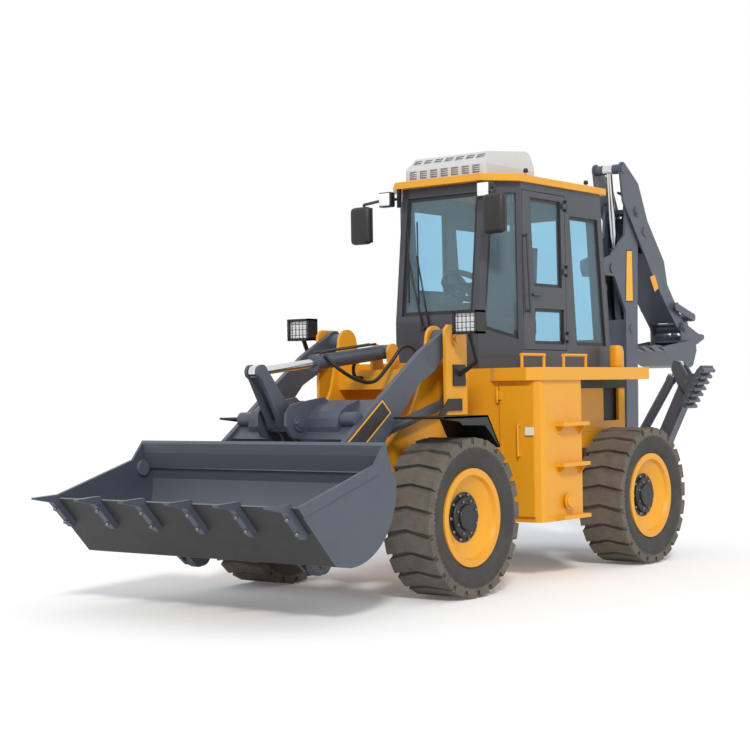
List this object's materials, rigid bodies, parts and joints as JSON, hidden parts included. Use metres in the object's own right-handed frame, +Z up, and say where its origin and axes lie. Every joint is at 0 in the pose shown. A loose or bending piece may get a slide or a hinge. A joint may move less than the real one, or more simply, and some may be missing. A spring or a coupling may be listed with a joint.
{
  "type": "backhoe loader",
  "caption": "Articulated backhoe loader with a cab, a front bucket on lift arms with a rocker linkage, and a folded rear digging arm between stabiliser legs.",
  "frame": {"origin": "on the ground, under the middle of the whole length, in the middle plane of the machine", "axes": "+X forward towards the loader bucket, +Y to the left, +Z up"},
  "size_m": [7.686, 2.3752, 3.596],
  "materials": {
    "yellow_paint": "gloss",
    "grey_paint": "satin",
    "dark_paint": "satin",
    "cab_paint": "satin",
    "white_plastic": "gloss",
    "black_plastic": "matt",
    "tyre_rubber": "matt",
    "clear_glass": "clear",
    "rod_chrome": "polished",
    "engine_iron": "rough",
    "seat_cover": "woven",
    "lamp_black": "matt"
  },
  "bodies": {
    "machine": {"rear_frame": "yellow_paint", "engine_block": "engine_iron", "side_boxes": "yellow_paint", "side_steps": "yellow_paint", "deck": "yellow_paint", "cab_shell": "cab_paint", "cab_roof": "yellow_paint", "air_conditioner": "white_plastic", "cab_glass": "clear_glass", "operator_seat": "seat_cover", "steering_console": "black_plastic", "rear_axle": "dark_paint", "backhoe_frame": "grey_paint", "mirrors": "lamp_black"},
    "front_machine": {"front_frame": "yellow_paint", "front_axle": "dark_paint", "front_fenders": "dark_paint", "work_lamps": "lamp_black"},
    "front_left_wheel": {"front_left_tyre": "tyre_rubber", "front_left_rim": "yellow_paint"},
    "front_right_wheel": {"front_right_tyre": "tyre_rubber", "front_right_rim": "yellow_paint"},
    "rear_left_wheel": {"rear_left_tyre": "tyre_rubber", "rear_left_rim": "yellow_paint"},
    "rear_right_wheel": {"rear_right_tyre": "tyre_rubber", "rear_right_rim": "yellow_paint"},
    "cab_door": {"cab_door": "cab_paint", "cab_door_glass": "clear_glass"},
    "box_door": {"box_door": "yellow_paint"},
    "lift_arms": {"lift_arms": "grey_paint"},
    "rocker": {"rocker": "grey_paint"},
    "bucket_link": {"bucket_link": "grey_paint"},
    "loader_bucket": {"loader_bucket": "grey_paint"},
    "lift_barrels": {"lift_cylinder_barrels": "yellow_paint"},
    "lift_rods": {"lift_cylinder_rods": "rod_chrome"},
    "tilt_barrel": {"tilt_cylinder_barrel": "yellow_paint"},
    "tilt_rod": {"tilt_cylinder_rod": "rod_chrome"},
    "swing_post": {"swing_post": "grey_paint"},
    "boom": {"boom": "grey_paint"},
    "boom_barrel": {"boom_cylinder_barrel": "yellow_paint"},
    "boom_rod": {"boom_cylinder_rod": "rod_chrome"},
    "dipper": {"dipper": "grey_paint"},
    "dipper_barrel": {"dipper_cylinder_barrel": "yellow_paint"},
    "dipper_rod": {"dipper_cylinder_rod": "rod_chrome"},
    "backhoe_bucket": {"backhoe_bucket": "grey_paint"},
    "bucket_barrel": {"bucket_cylinder_barrel": "yellow_paint"},
    "bucket_rod": {"bucket_cylinder_rod": "rod_chrome"},
    "guide_link": {"guide_link": "grey_paint"},
    "scoop_link": {"scoop_link": "grey_paint"},
    "left_stabiliser_leg": {"left_stabiliser_leg": "grey_paint"},
    "left_stabiliser_pad": {"left_stabiliser_pad": "grey_paint"},
    "left_stabiliser_barrel": {"left_stabiliser_barrel": "yellow_paint"},
    "left_stabiliser_rod": {"left_stabiliser_rod": "rod_chrome"},
    "right_stabiliser_leg": {"right_stabiliser_leg": "grey_paint"},
    "right_stabiliser_pad": {"right_stabiliser_pad": "grey_paint"},
    "right_stabiliser_barrel": {"right_stabiliser_barrel": "yellow_paint"},
    "right_stabiliser_rod": {"right_stabiliser_rod": "rod_chrome"}
  },
  "joints": [
    {"name": "steering", "type": "hinge", "parent": "machine", "child": "front_machine", "pos_m": [0.06, 0, 0.6875], "axis": [0, 0, 1], "range_deg": [-34, 34]},
    {"name": "front_left_spin", "type": "hinge", "parent": "front_machine", "child": "front_left_wheel", "pos_m": [1.617, 0.856, 0.573], "axis": [0, 1, 0], "continuous": true},
    {"name": "front_right_spin", "type": "hinge", "parent": "front_machine", "child": "front_right_wheel", "pos_m": [1.617, -0.856, 0.573], "axis": [0, 1, 0], "continuous": true},
    {"name": "rear_left_spin", "type": "hinge", "parent": "machine", "child": "rear_left_wheel", "pos_m": [-1.043, 0.856, 0.573], "axis": [0, 1, 0], "continuous": true},
    {"name": "rear_right_spin", "type": "hinge", "parent": "machine", "child": "rear_right_wheel", "pos_m": [-1.043, -0.856, 0.573], "axis": [0, 1, 0], "continuous": true},
    {"name": "cab_door_swing", "type": "hinge", "parent": "machine", "child": "cab_door", "pos_m": [-0.445, 0.612, 2.4], "axis": [0, 0, 1], "range_deg": [0, 95]},
    {"name": "box_door_swing", "type": "hinge", "parent": "machine", "child": "box_door", "pos_m": [0.617, 0.596, 1.2], "axis": [0, 0, 1], "range_deg": [-100, 0]},
    {"name": "lift", "type": "hinge", "parent": "front_machine", "child": "lift_arms", "pos_m": [1.206, 0, 1.865], "axis": [0, -1, 0], "range_deg": [-9, 84]},
    {"name": "lift_barrel_swing", "type": "hinge", "parent": "front_machine", "child": "lift_barrels", "pos_m": [1.135, 0, 1.393], "axis": [0, -1, 0], "range_deg": [-8.81, 73.93]},
    {"name": "lift_rod_slide", "type": "slide", "parent": "lift_barrels", "child": "lift_rods", "axis": [0.9676, 0, -0.2527], "range_m": [-0.0678, 0.6158]},
    {"name": "bucket_tilt", "type": "hinge", "parent": "lift_arms", "child": "loader_bucket", "pos_m": [2.79, 0, 0.345], "axis": [0, 1, 0], "range_deg": [0, 80]},
    {"name": "rocker_turn", "type": "hinge", "parent": "lift_arms", "child": "rocker", "pos_m": [2.47, 0, 1.27], "axis": [0, -1, 0], "range_deg": [0, 65.65]},
    {"name": "bucket_link_turn", "type": "hinge", "parent": "loader_bucket", "child": "bucket_link", "pos_m": [2.59, 0, 0.75], "axis": [0, -1, 0], "range_deg": [0, 94.04]},
    {"name": "tilt_barrel_swing", "type": "hinge", "parent": "front_machine", "child": "tilt_barrel", "pos_m": [1.278, 0, 1.786], "axis": [0, -1, 0], "range_deg": [-10.16, 86.48]},
    {"name": "tilt_rod_slide", "type": "slide", "parent": "tilt_barrel", "child": "tilt_rod", "axis": [0.9947, 0, -0.1027], "range_m": [-0.4956, 0]},
    {"name": "swing", "type": "hinge", "parent": "machine", "child": "swing_post", "pos_m": [-2.232, 0, 0.7], "axis": [0, 0, 1], "range_deg": [-90, 90]},
    {"name": "boom_turn", "type": "hinge", "parent": "swing_post", "child": "boom", "pos_m": [-2.383, 0, 0.76], "axis": [0, -1, 0], "range_deg": [0, 126]},
    {"name": "boom_barrel_swing", "type": "hinge", "parent": "swing_post", "child": "boom_barrel", "pos_m": [-2.2, 0, 1.05], "axis": [0, -1, 0], "range_deg": [0, 126.95]},
    {"name": "boom_rod_slide", "type": "slide", "parent": "boom_barrel", "child": "boom_rod", "axis": [0.0886, 0, 0.9961], "range_m": [0, 0.6131]},
    {"name": "dipper_turn", "type": "hinge", "parent": "boom", "child": "dipper", "pos_m": [-2.504, 0, 3.145], "axis": [0, 1, 0], "range_deg": [0, 95]},
    {"name": "dipper_barrel_swing", "type": "hinge", "parent": "boom", "child": "dipper_barrel", "pos_m": [-2.42, 0, 2.035], "axis": [0, 1, 0], "range_deg": [0, 18.32]},
    {"name": "dipper_rod_slide", "type": "slide", "parent": "dipper_barrel", "child": "dipper_rod", "axis": [0.1096, 0, 0.994], "range_m": [-0.589, 0]},
    {"name": "backhoe_bucket_turn", "type": "hinge", "parent": "dipper", "child": "backhoe_bucket", "pos_m": [-3.393, 0, 2.06], "axis": [0, 1, 0], "range_deg": [0, 100]},
    {"name": "guide_link_turn", "type": "hinge", "parent": "dipper", "child": "guide_link", "pos_m": [-3.215, 0, 2.265], "axis": [0, 1, 0], "range_deg": [0, 86.83]},
    {"name": "scoop_link_turn", "type": "hinge", "parent": "guide_link", "child": "scoop_link", "pos_m": [-3.56, 0, 2.17], "axis": [0, -1, 0], "range_deg": [0, 91.42]},
    {"name": "bucket_barrel_swing", "type": "hinge", "parent": "dipper", "child": "bucket_barrel", "pos_m": [-2.659, 0, 2.965], "axis": [0, 1, 0], "range_deg": [0, 17.63]},
    {"name": "bucket_rod_slide", "type": "slide", "parent": "bucket_barrel", "child": "bucket_rod", "axis": [-0.7498, 0, -0.6616], "range_m": [-0.4025, 0]},
    {"name": "left_stabiliser_turn", "type": "hinge", "parent": "machine", "child": "left_stabiliser_leg", "pos_m": [-1.925, 0.492, 0.56], "axis": [-1, 0, 0], "range_deg": [0, 90]},
    {"name": "left_stabiliser_barrel_swing", "type": "hinge", "parent": "machine", "child": "left_stabiliser_barrel", "pos_m": [-1.925, 0.344, 0.85], "axis": [-1, 0, 0], "range_deg": [0, 86.42]},
    {"name": "left_stabiliser_rod_slide", "type": "slide", "parent": "left_stabiliser_barrel", "child": "left_stabiliser_rod", "axis": [0, 0.5333, 0.8459], "range_m": [0, 0.4528]},
    {"name": "left_stabiliser_pad_turn", "type": "hinge", "parent": "left_stabiliser_leg", "child": "left_stabiliser_pad", "pos_m": [-1.925, 0.966, 1.525], "axis": [-1, 0, 0], "range_deg": [-30, 0]},
    {"name": "right_stabiliser_turn", "type": "hinge", "parent": "machine", "child": "right_stabiliser_leg", "pos_m": [-1.925, -0.492, 0.56], "axis": [1, 0, 0], "range_deg": [0, 90]},
    {"name": "right_stabiliser_barrel_swing", "type": "hinge", "parent": "machine", "child": "right_stabiliser_barrel", "pos_m": [-1.925, -0.344, 0.85], "axis": [1, 0, 0], "range_deg": [0, 86.42]},
    {"name": "right_stabiliser_rod_slide", "type": "slide", "parent": "right_stabiliser_barrel", "child": "right_stabiliser_rod", "axis": [0, -0.5333, 0.8459], "range_m": [0, 0.4528]},
    {"name": "right_stabiliser_pad_turn", "type": "hinge", "parent": "right_stabiliser_leg", "child": "right_stabiliser_pad", "pos_m": [-1.925, -0.966, 1.525], "axis": [1, 0, 0], "range_deg": [-30, 0]}
  ],
  "couplings": [
    {"joint": "lift_barrel_swing", "follows": "lift", "ratio": 0.8682},
    {"joint": "lift_rod_slide", "follows": "lift", "m_per_rad": 0.41866},
    {"joint": "rocker_turn", "follows": "bucket_tilt", "ratio": 0.80808},
    {"joint": "bucket_link_turn", "follows": "bucket_tilt", "ratio": 1.163},
    {"joint": "tilt_barrel_swing", "follows": "lift", "ratio": 1.0176},
    {"joint": "tilt_rod_slide", "follows": "bucket_tilt", "m_per_rad": -0.3535},
    {"joint": "boom_barrel_swing", "follows": "boom_turn", "ratio": 0.99962},
    {"joint": "boom_rod_slide", "follows": "boom_turn", "m_per_rad": 0.27787},
    {"joint": "dipper_barrel_swing", "follows": "dipper_turn", "ratio": 0.18233},
    {"joint": "dipper_rod_slide", "follows": "dipper_turn", "m_per_rad": -0.354},
    {"joint": "guide_link_turn", "follows": "backhoe_bucket_turn", "ratio": 0.85828},
    {"joint": "scoop_link_turn", "follows": "backhoe_bucket_turn", "ratio": 0.90424},
    {"joint": "bucket_barrel_swing", "follows": "backhoe_bucket_turn", "ratio": 0.16629},
    {"joint": "bucket_rod_slide", "follows": "backhoe_bucket_turn", "m_per_rad": -0.22945},
    {"joint": "left_stabiliser_barrel_swing", "follows": "left_stabiliser_turn", "ratio": 0.94907},
    {"joint": "left_stabiliser_rod_slide", "follows": "left_stabiliser_turn", "m_per_rad": 0.28698},
    {"joint": "right_stabiliser_barrel_swing", "follows": "right_stabiliser_turn", "ratio": 0.94907},
    {"joint": "right_stabiliser_rod_slide", "follows": "right_stabiliser_turn", "m_per_rad": 0.28698}
  ]
}
